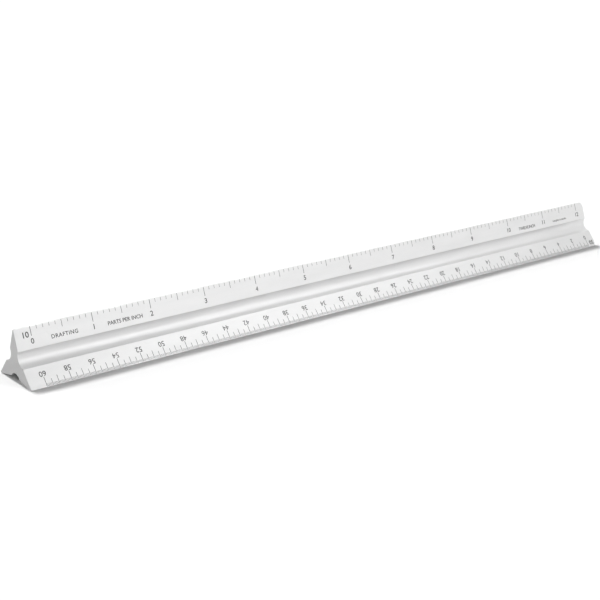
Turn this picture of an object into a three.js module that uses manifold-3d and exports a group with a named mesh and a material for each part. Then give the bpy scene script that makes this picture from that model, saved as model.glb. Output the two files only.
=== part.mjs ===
// A 12 inch triangular engineer's scale: a solid aluminium bar with three tapering arms, three round flutes
// between them, and six printed inch scales, one on each of the six bevelled faces.
// Millimetres. X runs along the bar, Z is up, and the side with the 10 and 50 scales faces -Y. The origin is
// at mid-length, on the surface that the bar stands on.

import * as THREE from "three";
import { mergeVertices } from "three/addons/utils/BufferGeometryUtils.js";
import Module from "manifold-3d";

// Driving dimensions of the bar.
const INCH = 25.4;
const GRADUATED_INCHES = 12;
const ZERO_MARGIN = 6.5; // plain metal before the zero mark of the upper scales
const FAR_MARGIN = 5.7; // plain metal beyond their last mark
const TIP_SPACING = (15 / 16) * INCH; // between two sharp tips of the section, before the noses are rounded
const ARM_ANGLE = THREE.MathUtils.degToRad(40); // between the two faces of one arm
const NOSE_RADIUS = 0.2; // along each of the three working edges
const FLUTE_RADIUS = 3.8;
const FLUTE_OFFSET = 0.5; // of a flute's centre, outside the line between two tips

// Each working edge rounds off towards an end face: from run away it curves down, by drop at the face itself.
const ZERO_CORNER = { run: 1.0, drop: 0.3 };
const FAR_CORNER = { run: 2.6, drop: 1.8 };

// Driving dimensions of the printed marks.
const PRINT_THICKNESS = 0.03;
const PRINT_CLEARANCE = 0.01; // between a face and its print
const MARK_WIDTH = 0.16;
const MARK_START = 0.9; // from the sharp edge to where the marks begin, clear of the surface below
const MARK_END = 4.2; // from the sharp edge to where they end
const HAIRLINE_WIDTH = 0.12; // the line that joins the marks of one scale

// The two scales of each side: the first reads along +X, and the second stands upside down below it.
const SIDES = [
  { upper: 10, lower: 50 },
  { upper: 20, lower: 40 },
  { upper: 30, lower: 60 },
];

// Sizes that follow from the driving dimensions.
const GRADUATED_LENGTH = GRADUATED_INCHES * INCH;
const LENGTH = ZERO_MARGIN + GRADUATED_LENGTH + FAR_MARGIN;
const PRINT_SHIFT = (ZERO_MARGIN - FAR_MARGIN) / 2; // of the scales' middle, along the bar from its own
const SIDE_ANGLE = Math.PI / 3; // between a side of the section and the surface the bar stands on
const THIRD_TURN = (2 * Math.PI) / 3;
const HALF_ARM_ANGLE = ARM_ANGLE / 2;
const FACE_TILT = Math.PI / 6 - HALF_ARM_ANGLE; // of a bevelled face, inwards from its side of the section
const CENTRE_TO_TIP = TIP_SPACING / Math.sqrt(3);
const CENTRE_TO_SIDE = CENTRE_TO_TIP / 2;
const CENTRE_TO_NOSE_CENTRE = CENTRE_TO_TIP - NOSE_RADIUS / Math.sin(HALF_ARM_ANGLE);
const CENTRE_TO_EDGE = CENTRE_TO_NOSE_CENTRE + NOSE_RADIUS;
const CENTRE_HEIGHT = CENTRE_TO_NOSE_CENTRE / 2 + NOSE_RADIUS; // of the section's centre above the surface

const NOSE_SEGMENTS = 6;
const FLUTE_SEGMENTS = 28;
const CORNER_SEGMENTS = 8;

const anodisedAluminium = new THREE.MeshStandardMaterial({ color: 0xdfe0e1, roughness: 0.45, metalness: 1 });
const printedMarks = new THREE.MeshStandardMaterial({ color: 0x2b2c2e, roughness: 0.5, metalness: 0 });

const wasm = await Module();
wasm.setup();

/** A closed geometry as a manifold-3d solid. */
function solidFrom(geometry) {
  const bare = geometry.clone();
  bare.deleteAttribute("normal");
  bare.deleteAttribute("uv");
  const merged = mergeVertices(bare, 1e-4);
  const vertProperties = merged.attributes.position.array;
  const triVerts = new Uint32Array(merged.index.array);
  return new wasm.Manifold(new wasm.Mesh({ numProp: 3, vertProperties, triVerts }));
}

/** A manifold-3d solid as a geometry with flat-shaded faces. */
function geometryFrom(solid) {
  const { vertProperties, triVerts } = solid.getMesh();
  const shared = new THREE.BufferGeometry();
  shared.setAttribute("position", new THREE.BufferAttribute(vertProperties, 3));
  shared.setIndex(new THREE.BufferAttribute(triVerts, 1));
  const geometry = shared.toNonIndexed();
  geometry.computeVertexNormals();
  return geometry;
}

/** The point at a distance from the origin in a direction. */
function polarPoint(distance, direction) {
  return new THREE.Vector2(distance * Math.cos(direction), distance * Math.sin(direction));
}

/** Points on an arc, both ends included. */
function arcPoints(centre, radius, startAngle, endAngle, segments) {
  return Array.from({ length: segments + 1 }, (_, i) => {
    const angle = THREE.MathUtils.lerp(startAngle, endAngle, i / segments);
    return polarPoint(radius, angle).add(centre);
  });
}

/** Half of a flute's arc, as an angle at its centre, from straight inwards to the edge of a bevelled face. */
function halfFluteAngle() {
  const centreToFace = (TIP_SPACING / 2) * Math.sin(FACE_TILT) + FLUTE_OFFSET * Math.cos(FACE_TILT);
  return FACE_TILT + Math.acos(centreToFace / FLUTE_RADIUS);
}

/** The section's outline, centred on the origin with one arm pointing up, counterclockwise. */
function sectionShape() {
  const fluteSpan = halfFluteAngle();
  const points = [0, 1, 2].flatMap((arm) => {
    const armDirection = Math.PI / 2 + arm * THIRD_TURN;
    const noseSpan = Math.PI / 2 - HALF_ARM_ANGLE;
    const nose = arcPoints(
      polarPoint(CENTRE_TO_NOSE_CENTRE, armDirection),
      NOSE_RADIUS, armDirection - noseSpan, armDirection + noseSpan, NOSE_SEGMENTS,
    );
    const sideDirection = armDirection + THIRD_TURN / 2;
    const inwards = sideDirection + Math.PI;
    const flute = arcPoints(
      polarPoint(CENTRE_TO_SIDE + FLUTE_OFFSET, sideDirection),
      FLUTE_RADIUS, inwards + fluteSpan, inwards - fluteSpan, FLUTE_SEGMENTS,
    );
    return [...nose, ...flute];
  });
  return new THREE.Shape(points);
}

/** The bar as extruded, with sharp corners, centred on the section's centre. */
function extrudedBar() {
  const geometry = new THREE.ExtrudeGeometry(sectionShape(), { depth: LENGTH, bevelEnabled: false });
  geometry.translate(0, 0, -LENGTH / 2);
  // The section lies in YZ and the extrusion runs along X.
  const axes = new THREE.Matrix4().makeBasis(
    new THREE.Vector3(0, 1, 0), new THREE.Vector3(0, 0, 1), new THREE.Vector3(1, 0, 0),
  );
  return geometry.applyMatrix4(axes);
}

/** What the rounding takes off the top arm's corner at the +X end: all that is above one arc. */
function cornerOffcut({ run, drop }) {
  const overshoot = 1;
  const radius = (run ** 2 + drop ** 2) / (2 * drop);
  const sweep = Math.asin(run / radius);
  const arcCentre = new THREE.Vector2(LENGTH / 2 - run, CENTRE_TO_EDGE - radius);
  const outline = arcPoints(arcCentre, radius, Math.PI / 2, Math.PI / 2 - sweep, CORNER_SEGMENTS);
  outline.push(new THREE.Vector2(LENGTH / 2 + overshoot, CENTRE_TO_EDGE - drop));
  outline.push(new THREE.Vector2(LENGTH / 2 + overshoot, CENTRE_TO_EDGE + overshoot));
  outline.push(new THREE.Vector2(arcCentre.x, CENTRE_TO_EDGE + overshoot));
  const width = TIP_SPACING / 2;
  const geometry = new THREE.ExtrudeGeometry(new THREE.Shape(outline), { depth: width, bevelEnabled: false });
  geometry.translate(0, 0, -width / 2);
  return geometry.rotateX(Math.PI / 2);
}

/** The finished bar: the extrusion with each arm's corner rounded at both ends. */
function scaleBar() {
  const ends = [
    { corner: FAR_CORNER, turn: 0 },
    { corner: ZERO_CORNER, turn: Math.PI },
  ];
  let bar = solidFrom(extrudedBar());
  for (const arm of [0, 1, 2]) {
    for (const { corner, turn } of ends) {
      const offcut = cornerOffcut(corner);
      offcut.rotateZ(turn);
      offcut.rotateX(arm * THIRD_TURN);
      bar = bar.subtract(solidFrom(offcut));
    }
  }
  const mesh = new THREE.Mesh(geometryFrom(bar), anodisedAluminium);
  mesh.name = "scale_bar";
  return mesh;
}

/** Units from one numbered mark of a scale to the next: 10 on the 10 scale, and 20 on the others. */
function unitsPerNumber(partsPerInch) {
  return partsPerInch === 10 ? 10 : 20;
}

/** The numbered marks of one scale as a comb: x along the scale, y = 0 on the sharp edge. */
function combShape(partsPerInch) {
  const step = unitsPerNumber(partsPerInch) * (INCH / partsPerInch);
  const count = Math.round(GRADUATED_LENGTH / step);
  const top = -MARK_START;
  const hairline = top - HAIRLINE_WIDTH;
  const halfWidth = MARK_WIDTH / 2;
  const start = -GRADUATED_LENGTH / 2;
  const outline = [
    new THREE.Vector2(-start + halfWidth, top),
    new THREE.Vector2(start - halfWidth, top),
  ];
  for (let i = 0; i <= count; i += 1) {
    const x = start + i * step;
    if (i > 0) outline.push(new THREE.Vector2(x - halfWidth, hairline));
    outline.push(new THREE.Vector2(x - halfWidth, -MARK_END));
    outline.push(new THREE.Vector2(x + halfWidth, -MARK_END));
    if (i < count) outline.push(new THREE.Vector2(x + halfWidth, hairline));
  }
  return new THREE.Shape(outline);
}

/** One printed scale, flat in its own XY plane with its face towards +Z. */
function graduations(partsPerInch) {
  const print = { depth: PRINT_THICKNESS, bevelEnabled: false };
  const mesh = new THREE.Mesh(new THREE.ExtrudeGeometry(combShape(partsPerInch), print), printedMarks);
  mesh.name = `graduations_${partsPerInch}`;
  mesh.position.z = PRINT_CLEARANCE;
  return mesh;
}

/** A scale laid on its bevelled face, in the frame of its side with the working edge at the top. */
function scaleOnFace(partsPerInch) {
  const face = new THREE.Group();
  face.position.set(0, TIP_SPACING / 2, CENTRE_TO_SIDE);
  face.rotation.x = FACE_TILT;
  face.add(graduations(partsPerInch));
  return face;
}

/** One side of the bar: a scale the right way up, and its partner turned half round. */
function side({ upper, lower }, turn) {
  const group = new THREE.Group();
  group.position.x = PRINT_SHIFT;
  group.rotation.x = SIDE_ANGLE + turn;
  const turned = new THREE.Group();
  turned.rotation.z = Math.PI;
  turned.add(scaleOnFace(lower));
  group.add(scaleOnFace(upper), turned);
  return group;
}

const group = new THREE.Group();
const section = new THREE.Group();
section.position.z = CENTRE_HEIGHT;
section.add(scaleBar());
SIDES.forEach((scales, i) => section.add(side(scales, i * THIRD_TURN)));
group.add(section);

export default group;
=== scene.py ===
# The finished surface of a 12 inch triangular engineer's scale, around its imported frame. Metres.
# X runs along the bar, Z is up, and the side with the 10 and 50 scales faces -Y.

import math

import bmesh
import bpy
from mathutils import Matrix, Vector


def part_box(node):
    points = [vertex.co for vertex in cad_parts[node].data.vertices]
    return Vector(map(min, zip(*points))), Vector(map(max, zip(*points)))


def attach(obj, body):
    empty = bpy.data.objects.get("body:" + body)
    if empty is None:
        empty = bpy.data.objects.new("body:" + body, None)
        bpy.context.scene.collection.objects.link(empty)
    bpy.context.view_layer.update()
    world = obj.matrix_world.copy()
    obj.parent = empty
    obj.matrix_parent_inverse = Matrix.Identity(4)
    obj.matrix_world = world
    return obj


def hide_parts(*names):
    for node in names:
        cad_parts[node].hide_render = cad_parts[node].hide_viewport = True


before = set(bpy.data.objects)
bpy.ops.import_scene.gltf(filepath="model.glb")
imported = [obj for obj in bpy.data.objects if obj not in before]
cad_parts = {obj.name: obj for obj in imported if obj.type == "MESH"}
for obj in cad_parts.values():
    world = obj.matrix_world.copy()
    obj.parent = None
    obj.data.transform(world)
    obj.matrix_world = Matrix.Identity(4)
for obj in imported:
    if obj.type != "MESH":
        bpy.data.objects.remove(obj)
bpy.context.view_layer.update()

MM = 0.001
INCH = 25.4 * MM
THIRD_TURN = math.tau / 3

# The bar's section. Its length, height and centre come from the frame.
HALF_ARM_ANGLE = math.radians(20)
NOSE_RADIUS = 0.2 * MM
FLUTE_RADIUS = 3.8 * MM
FLUTE_OFFSET = 0.5 * MM  # of the flute's centre, outside the line between two tips
# Each working edge rounds off towards a sawn end: how far from it that starts, and the drop at the end.
ZERO_CORNER = (1.0 * MM, 0.3 * MM)
FAR_CORNER = (2.6 * MM, 1.8 * MM)
FLUTE_LIP = 0.16 * MM  # how far the softened edge of a flute reaches to each side
RIM_RADIUS = 0.07 * MM  # where the sides meet a sawn end
SUPPORT = 0.1 * MM  # between a rounding and the first line of the flat beside it

bar_low, bar_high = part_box("scale_bar")
HALF_LENGTH = (bar_high.x - bar_low.x) / 2
CENTRE_TO_NOSE_CENTRE = (bar_high.z - bar_low.z - 2 * NOSE_RADIUS) / 1.5
CENTRE_TO_EDGE = CENTRE_TO_NOSE_CENTRE + NOSE_RADIUS
CENTRE_TO_TIP = CENTRE_TO_NOSE_CENTRE + NOSE_RADIUS / math.sin(HALF_ARM_ANGLE)
CENTRE_TO_SIDE = CENTRE_TO_TIP / 2
TIP_SPACING = CENTRE_TO_TIP * math.sqrt(3)
FACE_TILT = math.pi / 6 - HALF_ARM_ANGLE
CENTRE = Vector((0, 0, bar_high.z - CENTRE_TO_EDGE))

# The scales: the two on each side, the first reading along +X and the second upside down below it.
SIDES = [(10, 50), (20, 40), (30, 60)]
GRADUATED_INCHES = 12
GRADUATED_LENGTH = GRADUATED_INCHES * INCH
print_low, print_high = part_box("graduations_10")
PRINT_MIDDLE = (print_low.x + print_high.x) / 2

# The print. Distances run from the sharp edge of the face, down the face.
PRINT_HEIGHT = 0.012 * MM  # above the face
PRINT_DEPTH = 0.006 * MM  # sealed into the face
WELD_DISTANCE = 0.0005 * MM  # between the corners of a letter that are one
MARK_START = 0.62 * MM  # where every mark begins, clear of the rounded edge
CAP_HEIGHT = 0.7  # of a letter, as a share of the built-in font's size

# How finely the bar is divided.
NOSE_STEPS = 14
FLUTE_STEPS = 48
LIP_STEPS = 5
CORNER_STEPS = 12
RIM_STEPS = 5

FLOOR_HALF_WIDTH = 40.0


# ---------------------------------------------------------------- the bar

def arc(centre, radius, start, end, steps):
    """Points on an arc in the section's plane, both ends included."""
    angles = [start + (end - start) * i / steps for i in range(steps + 1)]
    return [centre + radius * Vector((math.cos(a), math.sin(a))) for a in angles]


def towards(angle):
    """The unit vector at an angle in the section's plane."""
    return Vector((math.cos(angle), math.sin(angle)))


def nose(direction, reach):
    """The rounded end of the arm that points in direction. Its crest is at reach from the centre."""
    radius = (CENTRE_TO_TIP - reach) / (1 / math.sin(HALF_ARM_ANGLE) - 1)
    centre = (CENTRE_TO_TIP - radius / math.sin(HALF_ARM_ANGLE)) * towards(direction)
    span = math.pi / 2 - HALF_ARM_ANGLE
    return arc(centre, radius, direction - span, direction + span, NOSE_STEPS)


def flute(direction, face_before, face_after):
    """The flute of the side that faces direction, with its two edges softened.
    face_before and face_after point along the bevelled faces, away from the flute."""
    centre = (CENTRE_TO_SIDE + FLUTE_OFFSET) * towards(direction)
    centre_to_face = TIP_SPACING / 2 * math.sin(FACE_TILT) + FLUTE_OFFSET * math.cos(FACE_TILT)
    span = FACE_TILT + math.acos(centre_to_face / FLUTE_RADIUS)
    inwards = direction + math.pi
    soft = FLUTE_LIP / FLUTE_RADIUS
    start, end = inwards + span, inwards - span
    first_edge = centre + FLUTE_RADIUS * towards(start)
    last_edge = centre + FLUTE_RADIUS * towards(end)
    body = arc(centre, FLUTE_RADIUS, start - soft, end + soft, FLUTE_STEPS)
    into = lip(first_edge + FLUTE_LIP * face_before, first_edge, body[0])
    out = lip(body[-1], last_edge, last_edge + FLUTE_LIP * face_after)
    before = into[0] + SUPPORT * face_before
    after = out[-1] + SUPPORT * face_after
    return [before, *into, *body[1:-1], *out, after]


def lip(start, corner, end):
    """A corner softened from start to end."""
    points = []
    for i in range(LIP_STEPS + 1):
        t = i / LIP_STEPS
        points.append((1 - t) ** 2 * start + 2 * t * (1 - t) * corner + t**2 * end)
    return points


def section(reach, inset):
    """The section's outline, counterclockwise, its arms cut off at reach and all of it pulled in by inset."""
    points = []
    for arm in range(3):
        direction = math.pi / 2 + arm * THIRD_TURN
        side = direction + THIRD_TURN / 2
        next_arm = direction + THIRD_TURN
        tip = nose(direction, reach)
        towards_tip = towards(direction - HALF_ARM_ANGLE)
        towards_next = towards(next_arm + HALF_ARM_ANGLE)
        points += [tip[0] - SUPPORT * towards(direction + HALF_ARM_ANGLE)]
        points += tip
        points += [tip[-1] - SUPPORT * towards_tip]
        points += flute(side, towards_tip, towards_next)
    return pulled_in(points, inset)


def pulled_in(points, inset):
    """An outline moved inwards by inset."""
    moved = []
    for i, point in enumerate(points):
        along = (points[(i + 1) % len(points)] - points[i - 1]).normalized()
        moved.append(point - inset * Vector((along.y, -along.x)))
    return moved


def stations(corner):
    """Places from mid-length to one end of the bar with a section each: (x, reach of the arms, inset)."""
    run, drop_at_end = corner
    corner_start = HALF_LENGTH - run
    rim_start = HALF_LENGTH - RIM_RADIUS
    places = [0.0, corner_start - SUPPORT]
    for i in range(CORNER_STEPS + 1):
        places.append(corner_start + (run - RIM_RADIUS - SUPPORT) * i / CORNER_STEPS)
    for i in range(RIM_STEPS + 1):
        places.append(rim_start + RIM_RADIUS * math.sin(math.pi / 2 * i / RIM_STEPS))
    radius = (run**2 + drop_at_end**2) / (2 * drop_at_end)
    made = []
    for x in places:
        into_corner = max(0.0, x - corner_start)
        drop = radius - math.sqrt(radius**2 - into_corner**2)
        into_rim = max(0.0, x - rim_start)
        inset = RIM_RADIUS - math.sqrt(max(0.0, RIM_RADIUS**2 - into_rim**2))
        made.append((x, CENTRE_TO_EDGE - drop, inset))
    return made


def make_bar():
    """The whole bar, one section after another from the zero end, with a flat cap on each end."""
    zero_half = [(-x, reach, inset) for x, reach, inset in stations(ZERO_CORNER)[1:]]
    whole = zero_half[::-1] + stations(FAR_CORNER)
    bm = bmesh.new()
    rings = []
    for x, reach, inset in whole:
        rings.append([bm.verts.new(CENTRE + Vector((x, p.x, p.y))) for p in section(reach, inset)])
    count = len(rings[0])
    for ring, following in zip(rings, rings[1:]):
        for i in range(count):
            j = (i + 1) % count
            bm.faces.new((ring[i], ring[j], following[j], following[i]))
    for cap in (bm.faces.new(list(reversed(rings[0]))), bm.faces.new(rings[-1])):
        cap.material_index = 1
    bmesh.ops.recalc_face_normals(bm, faces=bm.faces)
    mesh = bpy.data.meshes.new("bar")
    bm.to_mesh(mesh)
    bm.free()
    mesh.shade_smooth()
    mesh.set_sharp_from_angle(angle=math.radians(35))
    mesh.materials.append(satin_aluminium())
    mesh.materials.append(sawn_aluminium())
    return place("bar", mesh)


def place(name, mesh):
    """A new object in the scene with this mesh."""
    piece = bpy.data.objects.new(name, mesh)
    bpy.context.scene.collection.objects.link(piece)
    return piece


# ---------------------------------------------------------------- the print

def face_frame(side, lower):
    """From a scale's own plane, with x along the scale and y = 0 on its sharp edge, to the bar's frame."""
    turned = Matrix.Rotation(math.pi if lower else 0, 4, "Z")
    onto_side = Matrix.Rotation(math.pi / 3 + side * THIRD_TURN, 4, "X")
    onto_face = Matrix.Translation((0, TIP_SPACING / 2, CENTRE_TO_SIDE)) @ Matrix.Rotation(FACE_TILT, 4, "X")
    return Matrix.Translation(CENTRE + Vector((PRINT_MIDDLE, 0, 0))) @ onto_side @ turned @ onto_face


def add_mark(bm, x, width, end):
    """One ruled mark, from the edge's side of the face to end."""
    corners = []
    for z in (-PRINT_DEPTH, PRINT_HEIGHT):
        for across, y in ((-1, -end), (1, -end), (1, -MARK_START), (-1, -MARK_START)):
            corners.append(bm.verts.new((x + across * width / 2, y, z)))
    low, high = corners[:4], corners[4:]
    bm.faces.new(reversed(low))
    bm.faces.new(high)
    for i in range(4):
        j = (i + 1) % 4
        bm.faces.new((low[i], low[j], high[j], high[i]))


def add_text(bm, text, x, top, height, weight=0.0, spacing=1.0, align="CENTER"):
    """A line of print whose capitals stand height tall, top below the sharp edge."""
    curve = bpy.data.curves.new("lettering", "FONT")
    curve.body = text
    curve.size = height / CAP_HEIGHT
    curve.offset = 0.0 if "4" in text else weight  # any weight would fill in the font's 4
    curve.space_character = spacing
    curve.align_x = align
    curve.resolution_u = 3
    curve.extrude = (PRINT_HEIGHT + PRINT_DEPTH) / 2
    writing = bpy.data.objects.new("lettering", curve)
    bpy.context.scene.collection.objects.link(writing)
    graph = bpy.context.evaluated_depsgraph_get()
    mesh = bpy.data.meshes.new_from_object(writing.evaluated_get(graph))
    middle = (PRINT_HEIGHT - PRINT_DEPTH) / 2
    mesh.transform(Matrix.Translation((x, -top - height, middle)))
    bm.from_mesh(mesh)
    bpy.data.objects.remove(writing)
    bpy.data.curves.remove(curve)
    bpy.data.meshes.remove(mesh)


def mark_of(unit, parts_per_inch):
    """How far down the face the mark of a unit ends, and how wide it is."""
    if parts_per_inch == 10:
        tiers = [(10, 4.1, 0.2), (5, 3.3, 0.17), (1, 1.95, 0.14)]
    else:
        tiers = [(20, 4.4, 0.19), (10, 4.0, 0.17), (5, 3.2, 0.17), (1, 1.7, 0.13)]
    return next((end * MM, width * MM) for every, end, width in tiers if unit % every == 0)


def number_of(unit, parts_per_inch):
    """The number printed at a unit, or None. The 10 scale counts inches, the others tens of units."""
    if parts_per_inch == 10:
        return unit // 10 if unit % 10 == 0 else None
    return unit // 10 if unit % 20 == 0 else None


def number_style(parts_per_inch):
    """How far down the face a number starts, its height and its extra weight."""
    top, height, weight = (5.0, 1.95, 0.035) if parts_per_inch == 10 else (4.55, 2.05, 0.02)
    return top * MM, height * MM, weight * MM


def designator_style(parts_per_inch):
    """How far before the zero mark the scale's own number ends, how far down it starts, its height and its
    extra weight."""
    gap, top = (0.9, 2.3) if parts_per_inch == 10 else (1.6, 1.4)
    return gap * MM, top * MM, 2.1 * MM, 0.05 * MM


def add_scale(bm, parts_per_inch):
    """The marks, the numbers and the designator of one scale."""
    start = -GRADUATED_LENGTH / 2
    for unit in range(GRADUATED_INCHES * parts_per_inch + 1):
        x = start + unit * INCH / parts_per_inch
        end, width = mark_of(unit, parts_per_inch)
        add_mark(bm, x, width, end)
        number = number_of(unit, parts_per_inch)
        if number is not None:
            add_text(bm, str(number), x, *number_style(parts_per_inch))
    gap, top, height, weight = designator_style(parts_per_inch)
    add_text(bm, str(parts_per_inch), start - gap, top, height, weight=weight, align="RIGHT")


def add_legends(bm):
    """Small generic print on the 10 scale. Each legend has the inch it follows, the gap to it, how far down
    it starts, its height, its text and the spacing of its letters."""
    legends = [
        (0, 7.5, 5.3, 1.45, "DRAFTING", 1.15),
        (1, 5.8, 5.3, 1.45, "PARTS PER INCH", 1.0),
        (10, 7.2, 5.9, 1.4, "TWELVE INCH", 0.88),
        (11, 6.9, 6.1, 0.9, "Lengths in tenths", 1.12),
    ]
    for inch, gap, top, height, text, spacing in legends:
        x = -GRADUATED_LENGTH / 2 + inch * INCH + gap * MM
        add_text(bm, text, x, top * MM, height * MM, weight=0.03 * MM, spacing=spacing, align="LEFT")


def make_print(parts_per_inch, side, lower, ink):
    """One scale's whole print, as one object on its face."""
    bm = bmesh.new()
    add_scale(bm, parts_per_inch)
    if parts_per_inch == 10:
        add_legends(bm)
    bmesh.ops.remove_doubles(bm, verts=bm.verts, dist=WELD_DISTANCE)
    bm.transform(face_frame(side, lower))
    mesh = bpy.data.meshes.new(f"print_{parts_per_inch}")
    bm.to_mesh(mesh)
    bm.free()
    mesh.materials.append(ink)
    return place(f"scale_{parts_per_inch}_print", mesh)


# ---------------------------------------------------------------- the materials

def new_material(name):
    """A material with its nodes, their links and its shader."""
    material = bpy.data.materials.new(name)
    material.use_nodes = True
    nodes = material.node_tree.nodes
    return material, nodes, material.node_tree.links, nodes["Principled BSDF"]


def place_on_bar(nodes, links, per_metre, turn=0.0):
    """The object's own coordinates, scaled on each axis, after a turn about Z."""
    coordinates = nodes.new("ShaderNodeTexCoord")
    turned = nodes.new("ShaderNodeMapping")
    turned.inputs["Rotation"].default_value = (0, 0, turn)
    scaled = nodes.new("ShaderNodeMapping")
    scaled.inputs["Scale"].default_value = per_metre
    links.new(coordinates.outputs["Object"], turned.inputs["Vector"])
    links.new(turned.outputs["Vector"], scaled.inputs["Vector"])
    return scaled.outputs["Vector"]


def stretched_noise(nodes, links, per_metre, detail=3.0, turn=0.0):
    """Noise whose grain is 1 / per_metre long on each axis."""
    noise = nodes.new("ShaderNodeTexNoise")
    noise.inputs["Scale"].default_value = 1.0
    noise.inputs["Detail"].default_value = detail
    links.new(place_on_bar(nodes, links, per_metre, turn), noise.inputs["Vector"])
    return noise.outputs["Fac"]


def saw_lines(nodes, links, pitch):
    """Slightly wavy parallel lines across a sawn end, pitch apart. They are the texture's diagonal bands,
    which at a scale of 1 come every tau / 10 of y + z."""
    lines = nodes.new("ShaderNodeTexWave")
    lines.bands_direction = "DIAGONAL"
    lines.inputs["Scale"].default_value = math.tau / 10 / math.sqrt(2)
    lines.inputs["Distortion"].default_value = 2.0
    lines.inputs["Detail"].default_value = 2.0
    lines.inputs["Detail Scale"].default_value = 0.3
    links.new(place_on_bar(nodes, links, (1 / pitch,) * 3), lines.inputs["Vector"])
    return lines.outputs["Fac"]


def distance_from_axis(nodes, links):
    """How far a point is from the line through the centres of the sections."""
    coordinates = nodes.new("ShaderNodeTexCoord")
    from_centre = nodes.new("ShaderNodeVectorMath")
    from_centre.operation = "SUBTRACT"
    from_centre.inputs[1].default_value = CENTRE
    across = nodes.new("ShaderNodeVectorMath")
    across.operation = "MULTIPLY"
    across.inputs[1].default_value = (0, 1, 1)
    length = nodes.new("ShaderNodeVectorMath")
    length.operation = "LENGTH"
    links.new(coordinates.outputs["Object"], from_centre.inputs[0])
    links.new(from_centre.outputs["Vector"], across.inputs[0])
    links.new(across.outputs["Vector"], length.inputs[0])
    return length.outputs["Value"]


def ranged(nodes, links, value, low, high, low_in=0.3, high_in=0.7):
    """A value of low_in to high_in turned into low to high."""
    spread = nodes.new("ShaderNodeMapRange")
    spread.inputs["From Min"].default_value = low_in
    spread.inputs["From Max"].default_value = high_in
    spread.inputs["To Min"].default_value = low
    spread.inputs["To Max"].default_value = high
    links.new(value, spread.inputs["Value"])
    return spread.outputs["Result"]


def combined(nodes, links, operation, first, second):
    """Two values joined by one arithmetic operation. The second may be a plain number."""
    node = nodes.new("ShaderNodeMath")
    node.operation = operation
    links.new(first, node.inputs[0])
    if isinstance(second, float):
        node.inputs[1].default_value = second
    else:
        links.new(second, node.inputs[1])
    return node.outputs["Value"]


def between(nodes, links, factor, first, second):
    """A mix of two colours, each a grey level or another node's colour."""
    mix = nodes.new("ShaderNodeMix")
    mix.data_type = "RGBA"
    for name, colour in (("A", first), ("B", second)):
        if isinstance(colour, float):
            mix.inputs[name].default_value = (colour, colour, colour, 1)
        else:
            links.new(colour, mix.inputs[name])
    links.new(factor, mix.inputs["Factor"])
    return mix.outputs["Result"]


def bumped(nodes, links, shader, height, strength, distance):
    """Gives a shader a bump from a height value. Full height is distance deep."""
    bump = nodes.new("ShaderNodeBump")
    bump.inputs["Strength"].default_value = strength
    bump.inputs["Distance"].default_value = distance
    links.new(height, bump.inputs["Height"])
    links.new(bump.outputs["Normal"], shader.inputs["Normal"])


def fine_scratches(nodes, links):
    """A few slanting scratches, from 0 beside them to 1 in them."""
    slanted = stretched_noise(nodes, links, (60, 3500, 900), detail=1.0, turn=0.5)
    return ranged(nodes, links, slanted, 0.0, 1.0, low_in=0.68, high_in=0.74)


def edge_wear(nodes, links):
    """Patches along the three working edges, from 0 where the anodising is whole to 1 where it is gone."""
    near_edge = ranged(
        nodes, links, distance_from_axis(nodes, links), 0.0, 1.0,
        low_in=CENTRE_TO_EDGE - 0.5 * MM, high_in=CENTRE_TO_EDGE - 0.1 * MM,
    )
    patches = stretched_noise(nodes, links, (90, 900, 900))
    rubbed = ranged(nodes, links, patches, 0.0, 1.0, low_in=0.42, high_in=0.6)
    return combined(nodes, links, "MULTIPLY", near_edge, rubbed)


def satin_aluminium():
    """Satin clear anodising over extruded metal: faint lines along the bar, cloudy handling marks, fine
    scratches, and bare bright metal where the three working edges have rubbed."""
    material, nodes, links, shader = new_material("satin_aluminium")
    shader.inputs["Metallic"].default_value = 1.0
    lines = stretched_noise(nodes, links, (25, 5000, 5000))
    clouds = ranged(nodes, links, stretched_noise(nodes, links, (40, 160, 160), detail=5.0), 0.0, 1.0)
    scratches = fine_scratches(nodes, links)
    wear = edge_wear(nodes, links)
    colour = between(nodes, links, wear, between(nodes, links, clouds, 0.74, 0.79), 0.82)
    links.new(colour, shader.inputs["Base Color"])
    roughness = ranged(nodes, links, lines, 0.42, 0.50)
    for part, share in ((clouds, 0.03), (scratches, 0.12), (wear, -0.12)):
        roughness = combined(nodes, links, "ADD", roughness, combined(nodes, links, "MULTIPLY", part, share))
    links.new(roughness, shader.inputs["Roughness"])
    bumped(nodes, links, shader, lines, 0.15, 0.01 * MM)
    return material


def sawn_aluminium():
    """The sawn end, anodised with the rest: close parallel saw lines over a fine grain. Its grey is painted
    darker than the sides' to stand in for the shade that falls on the end.
    """
    material, nodes, links, shader = new_material("sawn_aluminium")
    shader.inputs["Metallic"].default_value = 1.0
    lines = saw_lines(nodes, links, 0.857 * MM)
    grain = stretched_noise(nodes, links, (6000, 6000, 6000))
    # painted shade: the end's grey is kept well below the sides' so that the end looks shaded under any light
    links.new(between(nodes, links, grain, 0.52, 0.59), shader.inputs["Base Color"])
    links.new(ranged(nodes, links, grain, 0.50, 0.65), shader.inputs["Roughness"])
    bumped(nodes, links, shader, lines, 0.3, 0.01 * MM)
    return material


def printed_ink():
    """Near-black print sealed under the anodising, a little uneven in its density."""
    material, nodes, links, shader = new_material("printed_ink")
    density = stretched_noise(nodes, links, (3000, 3000, 3000))
    colour = between(nodes, links, ranged(nodes, links, density, 0.0, 1.0), 0.02, 0.07)
    links.new(colour, shader.inputs["Base Color"])
    links.new(ranged(nodes, links, density, 0.40, 0.55), shader.inputs["Roughness"])
    bumped(nodes, links, shader, density, 0.1, 0.002 * MM)
    return material


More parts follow.
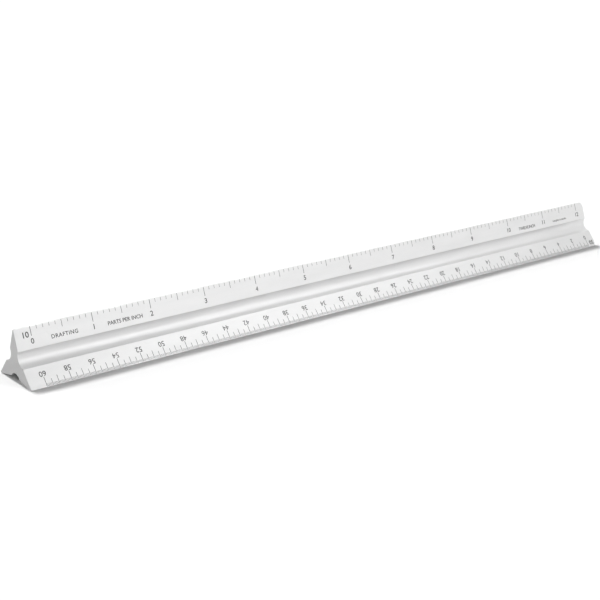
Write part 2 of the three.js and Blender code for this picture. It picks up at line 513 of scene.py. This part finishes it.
def floor_white():
    """A plain pale floor, a little mottled."""
    material, nodes, links, shader = new_material("floor_white")
    shader.inputs["Roughness"].default_value = 0.9
    shader.inputs["Specular IOR Level"].default_value = 0.0
    clouds = stretched_noise(nodes, links, (3, 3, 3))
    links.new(between(nodes, links, clouds, 0.93, 0.95), shader.inputs["Base Color"])
    return material


# ---------------------------------------------------------------- the studio

def make_floor():
    """A plane so wide that its far edge stays out of sight."""
    bm = bmesh.new()
    bmesh.ops.create_grid(bm, x_segments=4, y_segments=4, size=FLOOR_HALF_WIDTH)
    mesh = bpy.data.meshes.new("floor")
    bm.to_mesh(mesh)
    bm.free()
    mesh.materials.append(floor_white())
    return place("floor", mesh)


def add_light(name, azimuth, elevation, spread, strength, on_floor=True, on_metal=True):
    """A soft light far off. Azimuth 0 is straight behind the bar, and 90 is off its far end. The floor
    takes a light as diffuse and the bar's metal as glossy, so a light can be kept to one of the two."""
    light = bpy.data.lights.new(name, "SUN")
    light.angle = math.radians(spread)
    light.energy = strength
    lamp = bpy.data.objects.new(name, light)
    bpy.context.scene.collection.objects.link(lamp)
    lamp.visible_diffuse = on_floor
    lamp.visible_glossy = on_metal
    turn, rise = math.radians(azimuth), math.radians(elevation)
    source = Vector((math.sin(turn) * math.cos(rise), math.cos(turn) * math.cos(rise), math.sin(rise)))
    lamp.rotation_euler = (-source).to_track_quat("-Z", "Y").to_euler()


def light_studio():
    """Two lights from behind, kept off the metal, which leave the short shadow in front, six softer ones from
    the right and the front, and four kept off the floor, so that no side of the bar goes dark. The first
    eight are the result of a least-squares fit to the tones of a photograph, with front_high and front_wide
    turned down a little afterwards. The last four are given, not fitted."""
    bpy.context.scene.view_settings.view_transform = "Standard"
    bpy.context.scene.world = white_backdrop()
    add_light("back_key", azimuth=0, elevation=52, spread=8, strength=2.78, on_metal=False)
    add_light("back_left", azimuth=-30, elevation=28, spread=24, strength=1.14, on_metal=False)
    add_light("right_top", azimuth=60, elevation=68, spread=24, strength=0.13)
    add_light("right_high", azimuth=80, elevation=48, spread=24, strength=0.17)
    add_light("front_high", azimuth=120, elevation=48, spread=24, strength=0.51)
    add_light("front_wide", azimuth=150, elevation=28, spread=24, strength=0.52)
    add_light("front_low", azimuth=150, elevation=8, spread=24, strength=0.12)
    add_light("right_low", azimuth=120, elevation=8, spread=24, strength=0.21)
    add_light("metal_back", azimuth=0, elevation=45, spread=50, strength=0.80, on_floor=False)
    add_light("metal_left", azimuth=-60, elevation=30, spread=50, strength=0.60, on_floor=False)
    add_light("metal_right", azimuth=50, elevation=30, spread=50, strength=0.60, on_floor=False)
    add_light("metal_front", azimuth=225, elevation=30, spread=50, strength=0.45, on_floor=False)


def white_backdrop():
    """A world that is white behind everything and lights nothing."""
    world = bpy.data.worlds.new("studio")
    world.use_nodes = True
    nodes = world.node_tree.nodes
    path = nodes.new("ShaderNodeLightPath")
    background = nodes["Background"]
    background.inputs["Color"].default_value = (1, 1, 1, 1)
    world.node_tree.links.new(path.outputs["Is Camera Ray"], background.inputs["Strength"])
    return world


def make_camera():
    """In front of the bar's zero end and a little above it. The lens, the stand, the aim and the roll are the
    result of a least-squares fit to the bar's marks and outlines in a photograph."""
    lens = bpy.data.cameras.new("camera")
    lens.sensor_width = 36
    lens.lens = 76.79
    lens.clip_start = 0.01
    camera = bpy.data.objects.new("camera", lens)
    bpy.context.scene.collection.objects.link(camera)
    stand = Vector((-0.3543, -0.3927, 0.1770))
    aim = Vector((-0.0300, -0.0051, 0.0068))
    roll = math.radians(1.149)
    looking = (aim - stand).to_track_quat("-Z", "Y").to_matrix().to_4x4()
    camera.matrix_world = Matrix.Translation(stand) @ looking @ Matrix.Rotation(roll, 4, "Z")
    bpy.context.scene.camera = camera


bar = make_bar()
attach(bar, "root")
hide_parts("scale_bar")

ink = printed_ink()
for side, (upper, lower) in enumerate(SIDES):
    for parts_per_inch in (upper, lower):
        piece = make_print(parts_per_inch, side, parts_per_inch == lower, ink)
        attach(piece, "root")
        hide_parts(f"graduations_{parts_per_inch}")

make_floor()
light_studio()
make_camera()
